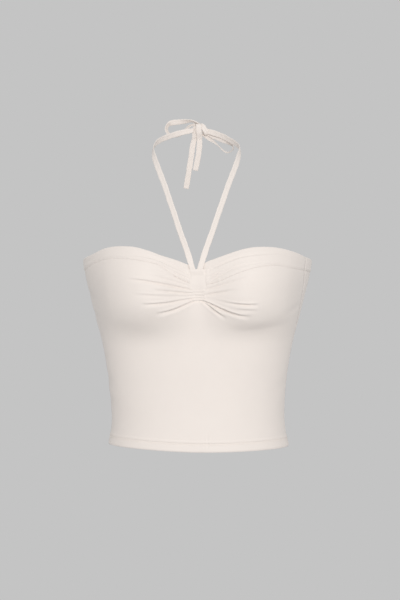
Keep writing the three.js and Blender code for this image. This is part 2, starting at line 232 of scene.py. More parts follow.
def body_point(angle, drop):
    """Smooth outer face of the cloth, before its folds."""
    turn = np.radians(angle)
    side, ahead = np.sin(turn), np.cos(turn)
    half = smooth(LEVELS, 1, drop)
    deep = np.where(ahead > 0, smooth(LEVELS, 2, drop), smooth(LEVELS, 3, drop))
    share = np.abs(side / half) ** SQUARENESS + np.abs(ahead / deep) ** SQUARENESS
    radius = share ** (-1 / SQUARENESS)
    x = radius * side
    from_cup = np.sqrt(x**2 + BRIDGE**2) - CUP["x"]
    below = drop - CUP["drop"]
    across = from_cup / np.where(from_cup < 0, CUP["inner"], CUP["outer"])
    down = np.where(below < 0, np.abs(below) / CUP["above"], (np.abs(below) / CUP["below"]) ** CUP["under"])
    away = ((across**2 + down**2) / 2) ** CUP["round"]
    mound = CUP["lift"] * np.exp(-away) * ease(ahead, 0, 0.5)
    shifted = x + LOWER_SHIFT * ease(drop, *SHIFT_BETWEEN)
    return np.stack([shifted, TORSO_MIDDLE - radius * ahead - mound, -drop + 0 * x], -1)


def outward(angle, drop):
    step = 0.5
    round_body = body_point(angle + step, drop) - body_point(angle - step, drop)
    up = body_point(angle, drop - step) - body_point(angle, drop + step)
    normal = np.cross(round_body, up)
    return normal / np.linalg.norm(normal, axis=-1, keepdims=True)


def hem_at(angle):
    turn = np.radians(angle)
    return HEM_SIDE + HEM_DIP * np.maximum(np.cos(turn), 0) ** 2 + HEM_TILT * (1 + np.sin(turn))


# Creases of the front, placed one by one: angle, drop, depth and half-width along each. A depth below
# zero is a ridge. The first seven fan out from the keeper over the cup at -X, the next seven over the other.
FRONT_CREASES = [
    [(-5.5, 205.5, 0.3, 1.1), (-16, 198.5, 0.6, 1.2), (-28.5, 192, 0.7, 1.5), (-35, 187, 0.0, 1.6)],
    [(-8, 209.5, 0.5, 1.0), (-20, 203.5, 0.8, 1.1), (-31, 198.5, 0.5, 1.4), (-39, 195.5, 0.0, 1.6)],
    [
        (-4.5, 215.2, 0.8, 0.9),
        (-12, 212.8, 1.5, 1.0),
        (-24.5, 208.4, 1.8, 1.1),
        (-38.5, 204, 1.4, 1.2),
        (-48, 202.8, 0.0, 1.6),
    ],
    [(-4.5, 220, 0.7, 0.9), (-12, 218.9, 1.3, 1.0), (-25.5, 216.8, 1.0, 1.2), (-32, 215.8, 0.0, 1.6)],
    [(-5.5, 223.2, 0.5, 1.0), (-24, 223.2, 0.7, 1.2), (-34, 222.5, 0.8, 1.3), (-45, 221.8, 0.0, 1.7)],
    [
        (-3, 226.4, 0.6, 0.8),
        (-10, 228, 1.3, 1.0),
        (-21.5, 231.8, 2.1, 1.2),
        (-31.5, 233.6, 1.9, 1.4),
        (-40, 234.4, 0.0, 1.9),
    ],
    [
        (-3, 230, 0.8, 0.8),
        (-6, 232, 1.8, 1.1),
        (-16, 239.4, 2.8, 1.3),
        (-22.5, 243, 2.5, 1.5),
        (-30.5, 246.6, 0.0, 2.3),
    ],
    [(8, 212.2, 0.4, 0.9), (14, 209.4, 0.7, 1.0), (22, 203.8, 0.6, 1.2), (32, 197.4, 0.0, 1.6)],
    [(6.5, 215, 0.9, 1.0), (13, 212, 1.4, 1.1), (25, 205, 1.2, 1.3), (38, 199, 0.0, 1.8)],
    [(6.5, 221.6, 1.0, 1.1), (14, 219.6, 1.5, 1.2), (22, 217.2, 0.8, 1.4), (29, 215.5, 0.0, 1.8)],
    [
        (6.5, 225.2, 0.2, 1.0),
        (16, 229, 0.3, 1.1),
        (24.5, 232.4, 1.2, 1.1),
        (33, 234, 2.6, 1.1),
        (39, 234.6, 1.7, 1.4),
        (43.5, 234.8, 0.0, 1.8),
    ],
    [(27, 239.6, 0.0, 1.2), (33, 240.8, 0.8, 1.3), (39, 241.4, 0.7, 1.5), (44, 241.8, 0.0, 1.9)],
    [
        (3, 228.4, 0.7, 0.8),
        (6.5, 230.8, 1.8, 0.9),
        (12, 235, 2.6, 1.1),
        (19, 240.4, 3.2, 1.2),
        (26.5, 245.4, 3.5, 1.4),
        (32, 247.9, 2.3, 1.6),
        (39, 249.4, 0.0, 2.3),
    ],
    [
        (5, 232, 0.8, 0.8),
        (7.5, 234.6, 2.1, 0.9),
        (13, 241.4, 2.8, 1.1),
        (17.5, 247.2, 2.1, 1.3),
        (21.5, 251.6, 0.0, 1.9),
    ],
    # Short gathers that run across the middle, just under the keeper
    [(-7, 219.2, 0.3, 0.8), (-1, 218.8, 0.5, 0.8), (5, 218.6, 0.4, 0.8), (9, 219.6, 0.0, 0.9)],
    [(-7, 222.6, 0.4, 0.8), (0, 222.4, 0.7, 0.8), (7, 223.2, 0.3, 0.9)],
    [(-5, 226.6, 0.4, 0.7), (0, 225.6, 0.8, 0.7), (5, 226.2, 0.5, 0.7)],
    [(-4, 230.4, 0.8, 0.8), (0, 229.2, 1.3, 0.8), (4, 229.6, 1.3, 0.8), (7, 231.5, 0.5, 0.9)],
    # Pull of the gathers on the smooth cloth below
    [(-7.5, 238, 0.2, 3.0), (-7, 262, 0.35, 4.0), (-6.5, 300, 0.2, 5.0), (-6, 345, 0.0, 6.0)],
    [(8.5, 238, 0.2, 3.0), (8, 258, 0.3, 4.0), (7, 296, 0.2, 5.0), (7, 335, 0.0, 6.0)],
    [(0.5, 236, -0.3, 3.0), (0.5, 262, -0.3, 4.0), (1, 310, 0.0, 6.0)],
    # Faint upright mark over the hem, a little to +X of the middle
    [(7.6, 396, 0.0, 0.7), (7.7, 402, 0.22, 0.8), (7.8, 413, 0.18, 0.8), (7.8, 416, 0.0, 0.8)],
    # Hollow under each cup, deeper at +X
    [(20, 266, 0, 8), (32, 269, 1.7, 10), (46, 268, 2.3, 10), (60, 263, 1, 10), (70, 259, 0, 9)],
    [(-28, 270, 0.0, 8.0), (-40, 271, 0.6, 10.0), (-54, 268, 0.6, 10.0), (-68, 262, 0.0, 9.0)],
    # Slack at the side seams
    [(-92, 214, 0.0, 3.0), (-82, 222, 0.7, 3.5), (-70, 226, 0.0, 4.0)],
    [(-94, 240, 0.0, 3.0), (-84, 247, 0.8, 4.0), (-71, 252, 0.0, 4.0)],
    [(-93, 322, 0.0, 4.0), (-82, 330, 0.8, 5.0), (-66, 333, 0.0, 6.0)],
    [(-92, 352, 0.0, 4.0), (-80, 358, 0.6, 5.0), (-64, 366, 0.0, 6.0)],
    [(78, 232, 0.0, 3.0), (70, 240, 0.6, 3.5), (60, 245, 0.0, 4.0)],
    [(82, 330, 0.0, 4.0), (72, 337, 0.7, 5.0), (58, 341, 0.0, 6.0)],
]

# Lines of the front band, where it is drawn towards the keeper: troughs, and the ridges between them
BAND_CREASES = [
    [(-5, 203, 0.4, 0.9), (-15.5, 195, 0.8, 1.0), (-22, 189, 0.4, 1.1), (-28, 184, 0.0, 1.3)],
    [
        (-7.2, 196.4, -0.4, 1.0),
        (-16.5, 190.2, -0.6, 1.1),
        (-25.5, 183.4, -0.6, 1.2),
        (-35, 177.6, -0.4, 1.3),
        (-46, 173.6, 0.0, 1.4),
    ],
    [(-8, 191.6, 0.4, 1.0), (-18, 184.4, 0.5, 1.2), (-30, 176.2, 0.3, 1.3), (-42, 170, 0.0, 1.5)],
    [(8.2, 199.5, 0.5, 0.9), (14, 195.6, 0.7, 1.0), (20.2, 191.2, 0.4, 1.1), (27, 186, 0.0, 1.3)],
    [
        (7, 206.6, 0.3, 0.8),
        (11.5, 202.4, 0.8, 0.9),
        (16.5, 197.4, 0.9, 1.0),
        (24, 190.4, 0.8, 1.1),
        (31.5, 185.4, 0.6, 1.2),
        (41.5, 181.8, 0.4, 1.2),
        (50, 179.5, 0.0, 1.4),
    ],
    [
        (8, 193.6, 0.0, 1.0),
        (14.3, 188.6, -0.5, 1.1),
        (30.5, 177.4, -0.7, 1.2),
        (44.5, 173.2, -0.6, 1.3),
        (56.5, 172.2, -0.4, 1.4),
        (66, 175.4, 0.0, 1.6),
    ],
    [(9, 189.6, 0.4, 1.0), (16, 184.4, 0.5, 1.1), (28, 175.6, 0.4, 1.3), (40, 169.6, 0.0, 1.5)],
    [(-84, 183, 0.0, 1.5), (-74, 178, 0.3, 1.6), (-62, 171, 0.0, 1.8)],
]

# Drag lines of the back, across the small of the back and under the arms
BACK_CREASES = [
    [(86, 236, 0.0, 4.0), (104, 250, 0.9, 4.0), (128, 262, 0.7, 5.0), (148, 266, 0.0, 6.0)],
    [(88, 318, 0, 4), (106, 326, 1.1, 4.5), (130, 330, 0.9, 5), (156, 328, 0.3, 6), (170, 326, 0, 6)],
    [(92, 352, 0.0, 4.0), (112, 354, 0.9, 5.0), (136, 350, 1.0, 5.0), (160, 347, 0.0, 6.0)],
    [(150, 338, 0.0, 4.0), (172, 341, 0.9, 4.5), (196, 340, 1.0, 4.5), (216, 334, 0.0, 5.0)],
    [(166, 312, 0.0, 5.0), (184, 309, 0.7, 5.0), (204, 312, 0.0, 6.0)],
    [(196, 360, 0, 5), (214, 356, 0.9, 4.5), (236, 350, 1.1, 4.5), (252, 346, 0.8, 4.5), (262, 343, 0, 4.5)],
    [(200, 330, 0.0, 5.0), (226, 326, 0.9, 4.5), (248, 320, 1.0, 4.5), (262, 314, 0.0, 4.5)],
    [(212, 268, 0.0, 6.0), (232, 262, 0.8, 5.0), (250, 252, 0.8, 4.0), (262, 244, 0.0, 4.0)],
    [(226, 240, 0.0, 5.0), (244, 232, 0.6, 4.0), (258, 222, 0.0, 4.0)],
    [(130, 386, 0.0, 5.0), (150, 380, 0.6, 5.0), (176, 382, 0.0, 6.0)],
    [(140, 222, 0.0, 4.0), (150, 232, 0.4, 5.0), (156, 250, 0.0, 6.0)],
    [(214, 224, 0.0, 4.0), (206, 236, 0.4, 5.0), (202, 252, 0.0, 6.0)],
]


def smooth_line(rows, pieces):
    """More rows between those of a table, on one smooth curve."""
    table = np.array(rows, float)
    fine = []
    for i in range(len(table) - 1):
        before = table[max(i - 1, 0)]
        start, end = table[i], table[i + 1]
        after = table[min(i + 2, len(table) - 1)]
        for k in range(pieces):
            t = k / pieces
            bend = (after - 3 * end + 3 * start - before) * t + (2 * before - 5 * start + 4 * end - after)
            fine.append(start + 0.5 * t * ((end - before) + t * bend))
    fine.append(table[-1])
    return np.array(fine)


# Half-widths of a crease: as far as it is felt, out to the roll beside it, and the width of that roll
CREASE_REACH = 6.5
ROLL_PLACE = 2.1
ROLL_WIDTH = 1.1


def folds(points, creases):
    """How far the creases raise or sink each point of the cloth."""
    height = np.zeros(points.shape[:-1])
    for rows in creases:
        line = smooth_line(rows, 8)
        track = body_point(line[:, 0], line[:, 1])
        depth, width = line[:, 2], np.maximum(line[:, 3], 0.5)
        reach = CREASE_REACH * width.max()
        near = np.all((points > track.min(0) - reach) & (points < track.max(0) + reach), axis=-1)
        chosen = points[near]
        if not len(chosen):
            continue
        best = np.full(len(chosen), np.inf)
        lift = np.zeros(len(chosen))
        for k in range(len(track) - 1):
            along = track[k + 1] - track[k]
            t = np.clip((chosen - track[k]) @ along / (along @ along), 0, 1)
            offset = chosen - track[k] - t[:, None] * along
            away = np.linalg.norm(offset, axis=1)
            wide = width[k] + t * (width[k + 1] - width[k])
            deep = depth[k] + t * (depth[k + 1] - depth[k])
            # A trough under a roll of cloth: steep on its upper side, slow to come back on its lower side
            rise = np.sign(along[0]) * (offset[:, 2] * along[0] - offset[:, 0] * along[2])
            lean = np.abs(along[0]) * rise / (along @ along) / np.maximum(away, 0.01)
            spread = wide * (1.25 - 0.4 * lean)
            roll = 0.32 + 0.24 * lean
            beside = roll * bell(away - ROLL_PLACE * spread, ROLL_WIDTH * spread)
            shape = deep * (beside - bell(away, spread))
            closer = away < best
            best[closer] = away[closer]
            lift[closer] = shape[closer]
        height[near] += lift
    return height


def lay_mesh(name, points, faces, material, uv=None):
    """A piece of the top from points in millimetres."""
    mesh = bpy.data.meshes.new(name)
    mesh.from_pydata((np.asarray(points) * MM).tolist(), [], faces)
    mesh.polygons.foreach_set("use_smooth", [True] * len(mesh.polygons))
    if uv is not None:
        layer = mesh.uv_layers.new(name="cloth")
        corner = np.empty(len(mesh.loops), int)
        mesh.loops.foreach_get("vertex_index", corner)
        layer.data.foreach_set("uv", (np.asarray(uv) * MM)[corner].ravel())
    mesh.materials.append(material)
    piece = bpy.data.objects.new(name, mesh)
    bpy.context.collection.objects.link(piece)
    return piece


def grid_faces(rows, columns, start=0, turned=False, closed=False):
    faces = []
    for i in range(rows - 1):
        for k in range(columns if closed else columns - 1):
            after = (k + 1) % columns
            a, b = start + i * columns + k, start + i * columns + after
            c, d = b + columns, a + columns
            faces.append((a, b, c, d) if turned else (d, c, b, a))
    return faces


def cloth_shell(name, outer, inner, uv, material):
    """Cloth with a wall: an outer and an inner grid of points, joined round the rim."""
    rows, columns = outer.shape[:2]
    total = rows * columns
    points = np.concatenate([outer.reshape(-1, 3), inner.reshape(-1, 3)])
    faces = grid_faces(rows, columns) + grid_faces(rows, columns, total, turned=True)
    rim = list(range(columns))
    rim += [i * columns + columns - 1 for i in range(1, rows)]
    rim += [(rows - 1) * columns + k for k in range(columns - 2, -1, -1)]
    rim += [i * columns for i in range(rows - 2, 0, -1)]
    for i, a in enumerate(rim):
        b = rim[(i + 1) % len(rim)]
        faces.append((b + total, a + total, a, b))
    return lay_mesh(name, points, faces, material, np.concatenate([uv.reshape(-1, 2)] * 2))


def closed_rings(name, rings, uv, material):
    """A solid strip from a row of closed rings, with both ends closed."""
    count, around = rings.shape[:2]
    faces = grid_faces(count, around, closed=True)
    faces.append(tuple(range(around)))
    faces.append(tuple(range((count - 1) * around, count * around))[::-1])
    return lay_mesh(name, rings.reshape(-1, 3), faces, material, uv.reshape(-1, 2))


# Single jersey of viscose with a little elastane: matt, with a faint bloom where it turns away.
# Its wales are 0.55 mm apart, drawn twice as coarse so that they show close by.
WALE = 1.1
COURSE = 0.9


def viscose_jersey():
    cloth = bpy.data.materials.new("milk_white_viscose_jersey")
    cloth.use_nodes = True
    tree = cloth.node_tree
    shader = tree.nodes["Principled BSDF"]

    # Knit: loops slant up to both sides of each wale
    place = add_node(tree, "ShaderNodeUVMap", {"uv_map": "cloth"})
    count = (1 / (WALE * MM), 1 / (COURSE * MM), 1)
    scaled = {0: place.outputs["UV"], 1: count}
    counted = add_node(tree, "ShaderNodeVectorMath", {"operation": "MULTIPLY"}, scaled)
    parts = add_node(tree, "ShaderNodeSeparateXYZ", None, {"Vector": counted.outputs["Vector"]})
    wale, course = parts.outputs["X"], parts.outputs["Y"]
    side = add_node(tree, "ShaderNodeMath", {"operation": "PINGPONG"}, {0: wale, 1: 0.5}).outputs[0]
    slanted = {0: side, 1: -1.6, 2: course}
    slant = add_node(tree, "ShaderNodeMath", {"operation": "MULTIPLY_ADD"}, slanted).outputs[0]
    loop = add_node(tree, "ShaderNodeMath", {"operation": "PINGPONG"}, {0: slant, 1: 0.5}).outputs[0]
    leg = add_node(tree, "ShaderNodeMath", {"operation": "PINGPONG"}, {0: wale, 1: 0.25}).outputs[0]
    knit = add_node(tree, "ShaderNodeMath", {"operation": "ADD"}, {0: loop, 1: leg}).outputs[0]
    # Uneven yarn, and broad faint clouding
    spot = add_node(tree, "ShaderNodeTexCoord").outputs["Object"]
    fine = {"Vector": spot, "Scale": 60.0, "Detail": 4.0}
    slub = add_node(tree, "ShaderNodeTexNoise", None, fine).outputs["Fac"]
    broad = {"Vector": spot, "Scale": 9.0, "Detail": 2.0}
    cloud = add_node(tree, "ShaderNodeTexNoise", None, broad).outputs["Fac"]
    faint = add_node(tree, "ShaderNodeMath", {"operation": "MULTIPLY"}, {0: cloud, 1: 0.3}).outputs[0]
    mixed = {0: slub, 1: 0.35, 2: faint}
    shade = add_node(tree, "ShaderNodeMath", {"operation": "MULTIPLY_ADD"}, mixed).outputs[0]
    tone = add_node(tree, "ShaderNodeMix", {"data_type": "RGBA"}, {"Factor": shade})
    tone.inputs["A"].default_value = linear(MILK_WHITE)
    tone.inputs["B"].default_value = linear(MILK_SHADE)
    raised = {0: knit, 1: 2.4, 2: slub}
    relief = add_node(tree, "ShaderNodeMath", {"operation": "MULTIPLY_ADD"}, raised).outputs[0]
    pressed = {"Strength": 0.25, "Distance": 0.12 * MM, "Height": relief}
    bump = add_node(tree, "ShaderNodeBump", None, pressed)
    tree.links.new(tone.outputs["Result"], shader.inputs["Base Color"])
    tree.links.new(bump.outputs["Normal"], shader.inputs["Normal"])
    shader.inputs["Roughness"].default_value = 0.82
    shader.inputs["Sheen Weight"].default_value = 0.2
    shader.inputs["Sheen Roughness"].default_value = 0.5
    shader.inputs["Specular IOR Level"].default_value = 0.3
    return cloth


# Spun polyester sewing thread: two plies twisted, a little glossier than the cloth, with painted shade in the
# grooves of its twist
def sewing_thread():
    thread = bpy.data.materials.new("spun_polyester_thread")
    thread.use_nodes = True
    tree = thread.node_tree
    shader = tree.nodes["Principled BSDF"]
    spot = add_node(tree, "ShaderNodeTexCoord")
    # Painted shade: darker diagonal bands where the grooves between the twisted plies lie
    twisted = {"Vector": spot.outputs["Object"], "Scale": 900.0}
    ply_groove_shade = add_node(tree, "ShaderNodeTexWave", {"bands_direction": "DIAGONAL"}, twisted)
    tone = add_node(tree, "ShaderNodeMix", {"data_type": "RGBA"}, {"Factor": ply_groove_shade.outputs["Fac"]})
    tone.inputs["A"].default_value = linear(THREAD_WHITE)
    tone.inputs["B"].default_value = linear(MILK_SHADE)
    tree.links.new(tone.outputs["Result"], shader.inputs["Base Color"])
    shader.inputs["Roughness"].default_value = 0.6
    shader.inputs["Sheen Weight"].default_value = 0.1
    return thread


JERSEY = viscose_jersey()
THREAD = sewing_thread()

# Columns crowd towards the gathers at the centre front
FRONT_STEPS = 118
BACK_COLUMNS = 165
CROWDING = 1.35
MEAN_RADIUS = 112
SEAM_ANGLE = math.degrees(SEWN_GAP / 2 / MEAN_RADIUS)
SEAM_TOP, RIGHT_END = RIGHT_SEAM[0]
steps = np.arange(2 * FRONT_STEPS + 1) / FRONT_STEPS - 1
side_end = np.where(steps < 0, -LEFT_SEAM, RIGHT_END) - SEAM_ANGLE
front_turns = np.sign(steps) * np.abs(steps) ** CROWDING * side_end
back_turns = np.linspace(RIGHT_END + SEAM_ANGLE, 360 + LEFT_SEAM - SEAM_ANGLE, BACK_COLUMNS)

# Rows lie close in the gathers and at the hem
share_rows = np.concatenate([
    np.linspace(0, 0.012, 4)[:-1],
    np.linspace(0.012, 0.34, 88)[:-1],
    np.linspace(0.34, 0.92, 30)[:-1],
    np.linspace(0.92, 1, 24),
])

seam_drop = FRONT_EDGE[-1][2] + share_rows * (HEM_SIDE - FRONT_EDGE[-1][2])
seam_angles = smooth(RIGHT_SEAM, 1, seam_drop)[:, None]

# Heights over the lower edge: the end of the turning, and the middle of its two rows of stitches
HEM_TURN = 13.6
HEM_STITCH = 10.4
HALF_ROW_GAP = 1.1

# How far the doubled hem stands out, the ridge over it, the sink at its stitches and the roll of its edge
HEM_RISE = 0.45
HEM_RIDGE = 0.35
HEM_SINK = 0.6
HEM_ROLL = 0.9

# Length of cloth to one degree round the body, which sets the size of the knit
CLOTH_PER_DEGREE = 1.9


def hem_form(angle, from_hem):
    """The turned hem: a doubled edge, a soft ridge where the turning ends and a sunk line of stitches,
    which is deepest in the middle of the front and of the back."""
    marked = 0.4 + 0.6 * np.cos(np.radians(angle)) ** 2
    doubled = HEM_RISE * (1 - ease(from_hem, HEM_TURN - 1.2, HEM_TURN + 1.6))
    ridge = HEM_RIDGE * marked * bell(from_hem - HEM_TURN + 0.6, 1.2)
    sunk = HEM_SINK * marked * bell(from_hem - HEM_STITCH, 1.1)
    return doubled + ridge - sunk - HEM_ROLL * bell(from_hem, 0.9)


# Both sides of the seam under the band sink in by this much
SEAM_SINK = 0.45


def pucker(angle, from_seam, size):
    """Small uneven puckers that a seam leaves in the cloth beside it."""
    wave = np.sin(angle * 2.1 + 0.7 * np.sin(angle * 0.61)) * (0.6 + 0.4 * np.sin(angle * 0.37 + 1.3))
    return size * wave * bell(from_seam, 3.2)


def under_keeper(angle, drop):
    """Cloth held flat under the keeper."""
    inside = ease(angle, -6.4, -4.4) * (1 - ease(angle, 6.2, 8.4))
    return 1 - inside * (1 - ease(drop, 213.5, 216.5))


def round_keeper(angle, drop):
    """Gathered cloth that stands up to the keeper's sides and swells out under it."""
    along = ease(drop, 188, 194) * (1 - ease(drop, 210, 214))
    beside = 0.5 * along * (bell(angle + 6.4, 1.7) + bell(angle - 7.4, 1.7))
    swell = ease(drop, 213.6, 215.6) * (1 - ease(drop, 216, 225)) * (1 - ease(np.abs(angle - 0.5), 3.5, 8))
    return beside + 0.75 * swell


def panel_height(angle, drop, top, creases):
    base = body_point(angle, drop)
    from_top = drop - top
    from_hem = hem_at(angle) - drop
    height = folds(base, creases) * under_keeper(angle, drop) + round_keeper(angle, drop)
    height = height + hem_form(angle, from_hem) + pucker(angle, from_top, 0.16)
    return height - SEAM_SINK * bell(from_top, 1.5)


def cloth_at(angle, drop, height):
    return body_point(angle, drop) + outward(angle, drop) * np.asarray(height)[..., None]


def body_panel(name, angle, drop, top, creases):
    height = panel_height(angle, drop, top, creases)
    from_hem = hem_at(angle) - drop
    wall = CLOTH_WALL + (HEM_WALL - CLOTH_WALL) * (1 - ease(from_hem, HEM_TURN - 0.6, HEM_TURN + 0.6))
    outer = cloth_at(angle, drop, height)
    inner = cloth_at(angle, drop, 0.85 * height - wall)
    uv = np.stack([angle * CLOTH_PER_DEGREE, -drop], -1)
    return cloth_shell(name, outer, inner, uv, JERSEY)


def front_grid():
    turns = front_turns[None, :] + 0 * share_rows[:, None]
    angle = np.where(turns > 0, turns * seam_angles / RIGHT_END, turns)
    top = smooth(FRONT_EDGE, 2, front_turns)[None, :] + SEWN_GAP / 2
    return angle, top + share_rows[:, None] * (hem_at(front_turns)[None, :] - top), top


def back_grid():
    end = 360 + LEFT_SEAM
    angle = end - (end - back_turns[None, :]) * (end - seam_angles) / (end - RIGHT_END)
    top = smooth(BACK_EDGE, 2, back_turns)[None, :] + SEWN_GAP / 2
    return angle, top + share_rows[:, None] * (hem_at(back_turns)[None, :] - top), top


front_panel = body_panel("front_panel_jersey", *front_grid(), FRONT_CREASES)
back_panel = body_panel("back_panel_jersey", *back_grid(), BACK_CREASES)


# Rows of the band's outer face, steps round its folded edge, and how far its middle stands out
BAND_ROWS = 46
BAND_BEND = 8
BAND_SWELL = 0.3


def neck_band(name, edge, turns, creases):
    """Doubled strip along the neckline: folded at the top, seamed to the panel below."""
    top = smooth(edge, 1, turns)
    bottom = smooth(edge, 2, turns) - SEWN_GAP / 2
    bend = BAND_WALL / 2
    face = np.linspace(0, 1, BAND_ROWS)
    drops, heights = [], []
    for t in face[::-1]:
        drops.append(top + bend + t * (bottom - top - bend))
        heights.append(0 * turns)
    for k in range(1, BAND_BEND):
        swing = math.pi * k / BAND_BEND
        drops.append(top + bend * (1 - math.sin(swing)))
        heights.append(0 * turns - bend * (1 - math.cos(swing)))
    for t in face[::5]:
        drops.append(top + bend + t * (bottom - top - bend))
        heights.append(0 * turns - BAND_WALL)
    drop = np.array(drops).T
    height = np.array(heights).T
    angle = turns[:, None] + 0 * drop
    shown = 1 + height / BAND_WALL
    share = np.clip((drop - top[:, None]) / (bottom - top)[:, None], 0, 1)
    raised = folds(body_point(angle, drop), creases)
    from_seam = bottom[:, None] - drop
    raised += BAND_SWELL * np.sin(share * math.pi)
    raised += 0.4 * bell(from_seam - 2.9, 1.3) - SEAM_SINK * bell(from_seam, 1.5)
    raised += pucker(angle, from_seam, 0.18) + round_keeper(angle, drop)
    rings = cloth_at(angle, drop, height + raised * shown)
    around = np.concatenate([[0], np.cumsum(np.linalg.norm(np.diff(rings[0], axis=0), axis=1))])
    uv = np.stack([angle * CLOTH_PER_DEGREE, around[None, :] + 0 * drop], -1)
    return closed_rings(name, rings, uv, JERSEY)


front_band = neck_band("front_band_jersey", FRONT_EDGE, front_turns, BAND_CREASES)
back_band = neck_band("back_band_jersey", BACK_EDGE, back_turns, [])


KEEPER_TOP = 189.9
KEEPER_HEIGHT = 25.1
KEEPER_MIDDLE = 0.5
KEEPER_HALF_ANGLE = 6.2


def centre_keeper():
    """Folded strip over the middle of the gathers. Its upper edge lies over the ends of the straps."""
    across = np.linspace(-1, 1, 41)[None, :]
    down = np.linspace(0, 1, 57)[:, None]
    drop = KEEPER_TOP + KEEPER_HEIGHT * down + 0 * across
    wider = 1 - ease(drop, 190, 201)
    half = KEEPER_HALF_ANGLE - 0.35 * np.sin(down * math.pi) + 0.9 * wider
    angle = KEEPER_MIDDLE - wider + across * half
    dome = np.clip(1 - across**2, 0, 1)
    ends = np.clip(1 - np.abs(2 * down - 1) ** 26, 0, 1) ** 0.5
    over_straps = 2.1 * (1 - ease(drop, 191.6, 198.5)) * (1 - ease(np.abs(across), 0.72, 1))
    inner_height = 0.05 + 0.25 * dome + over_straps
    thick = 1.25 * dome * ease(drop, 182, 196) * (1 - 0.7 * ease(drop, 208, 214))
    outer_height = inner_height + 0.2 + ends * thick
    uv = np.stack([angle * CLOTH_PER_DEGREE, -drop], -1)
    outer, inner = cloth_at(angle, drop, outer_height), cloth_at(angle, drop, inner_height)
    return cloth_shell("centre_keeper_jersey", outer, inner, uv, JERSEY)


keeper = centre_keeper()

# Routes of the flat tube: x, y, z, then the direction of its width
STRAP_RIGHT = [
    (2.5, -174.9, -191.4, 1, -0.2, 0),
    (4, -174.7, -186.2, 1, -0.15, 0),
    (10.7, -168.4, -165, 1, 0.3, 0.1),
    (18.2, -161, -144, 1, 0.45, 0.2),
    (25.5, -152.5, -122, 1, 0.55, 0.2),
    (32.5, -142, -101.7, 1, 0.65, 0.2),
    (38.5, -130, -84, 1, 0.75, 0.2),
    (44.2, -117, -68.8, 1, 0.8, 0.1),
    (49.7, -102, -54, 0.95, 0.85, 0),
    (53.3, -86, -42, 0.75, 0.9, -0.35),
    (55.4, -70, -33.5, 0.3, 0.8, -0.9),
    (54.6, -54, -27.5, 0.15, 0.4, -1),
    (49.8, -38, -21.5, 0, 0.2, -1),
    (42.2, -23.5, -15.6, 0, 0, -1),
    (33.3, -12, -9.8, 0, 0, -1),
    (23.3, -3.8, -5.2, 0, 0, -1),
    (14, 0.8, -2.2, 0, 0, -1),
    (6.3, 2.6, -0.5, 0, 0, -1),
]
STRAP_LEFT = [
    (-5.4, -175.3, -191.4, -1, -0.2, 0),
    (-7, -175.1, -186.2, -1, -0.2, 0),
    (-13.6, -168.4, -165, -1, 0.3, 0.1),
    (-21.2, -161, -144, -1, 0.45, 0.2),
    (-28.4, -152.5, -122, -1, 0.55, 0.2),
    (-35.3, -142, -101.7, -1, 0.65, 0.2),
    (-41.1, -130, -84, -1, 0.75, 0.2),
    (-46.8, -117, -68.8, -1, 0.7, 0.1),
    (-52.3, -102, -54, -0.95, 0.8, 0),
    (-56.4, -86, -42, -0.75, 0.9, -0.35),
    (-58, -70, -33, -0.35, 0.8, -0.9),
    (-57, -54, -26.5, -0.15, 0.4, -1),
    (-52.8, -38, -19.5, 0, 0.2, -1),
    (-44.8, -23.5, -13.6, 0, 0, -1),
    (-35.3, -12, -9, 0, 0, -1),
    (-24.6, -3.8, -5, 0, 0, -1),
    (-14.5, 0.8, -2.2, 0, 0, -1),
    (-5.6, 2.6, -0.5, 0, 0, -1),
]
LOOP_LEFT = [
    (1.6, 4.4, 8.3, 0, 1, -0.25),
    (-4.4, 5.3, 11.3, 0, 1, -0.3),
    (-10.2, 6.2, 12.5, 0, 0.95, -0.4),
    (-18.2, 7.6, 11.9, 0, 0.7, -0.75),
    (-26.3, 8.8, 11.2, 0, 0.35, -1),
    (-34.2, 9.8, 10.3, 0.1, 0.4, -0.95),
    (-39.2, 10.6, 8, 0.35, 0.8, -0.5),
    (-41.8, 11.6, 3.4, 0.6, 0.8, 0),
    (-41, 12.4, -1.8, 0.5, 0.85, 0.15),
    (-37, 13, -5.8, 0.3, 0.87, 0.4),
    (-31, 13, -7.6, 0, 0.87, 0.45),
    (-25, 12.4, -6.6, -0.1, 0.9, 0.4),
    (-19.8, 11.6, -2.6, -0.25, 0.9, 0.35),
    (-15.4, 10.8, 1.8, -0.3, 0.87, 0.4),
    (-11.5, 9.9, 5.4, -0.3, 0.87, 0.35),
    (-7.4, 8.6, 7.3, -0.2, 0.9, 0.3),
    (-2.6, 6.8, 8.2, -0.2, 0.9, 0.3),
]
LOOP_RIGHT = [
    (7.2, 5.8, -0.2, 0.1, 0.1, -1),
    (14, 3.7, -4, 0, -0.05, -1),
    (21.5, 0.1, -8.2, -0.1, -0.1, -1),
    (29, -6, -12.2, -0.2, -0.1, -1),
    (36.5, -13.4, -15.6, -0.3, 0.3, -0.9),
    (43, -17.5, -19.4, -0.4, 0.9, -0.3),
    (47.2, -17, -24.4, 0.15, 1, 0),
    (45.6, -13.6, -29.2, 0.15, 1, 0.1),
    (40, -9.4, -31, 0, 1, 0.25),
    (34.4, -5.4, -28, -0.15, 1, 0.3),
    (28.2, -1, -22, -0.15, 1, 0.25),
    (21.8, 2.4, -16.2, 0.3, 1, 0.4),
    (15.4, 5.2, -11.4, 0.6, 0.8, 0.7),
    (6.4, 7.4, -4.8, 0.7, 0.7, 0.8),
]
TAIL_LEFT = [
    (-2.8, 6.4, -4.9, 1, 0, 0.2),
    (-5, 6.8, -14.5, 1, 0, 0.2),
    (-6.9, 7.2, -22.7, 1, 0, 0.2),
    (-8.6, 8, -35.9, 1, 0, 0.1),
    (-10.8, 9.2, -49.1, 1, 0, 0.1),
    (-12.6, 10.4, -60.9, 1, 0, 0.1),
    (-15.5, 12.2, -78.2, 1, 0, 0.1),
]
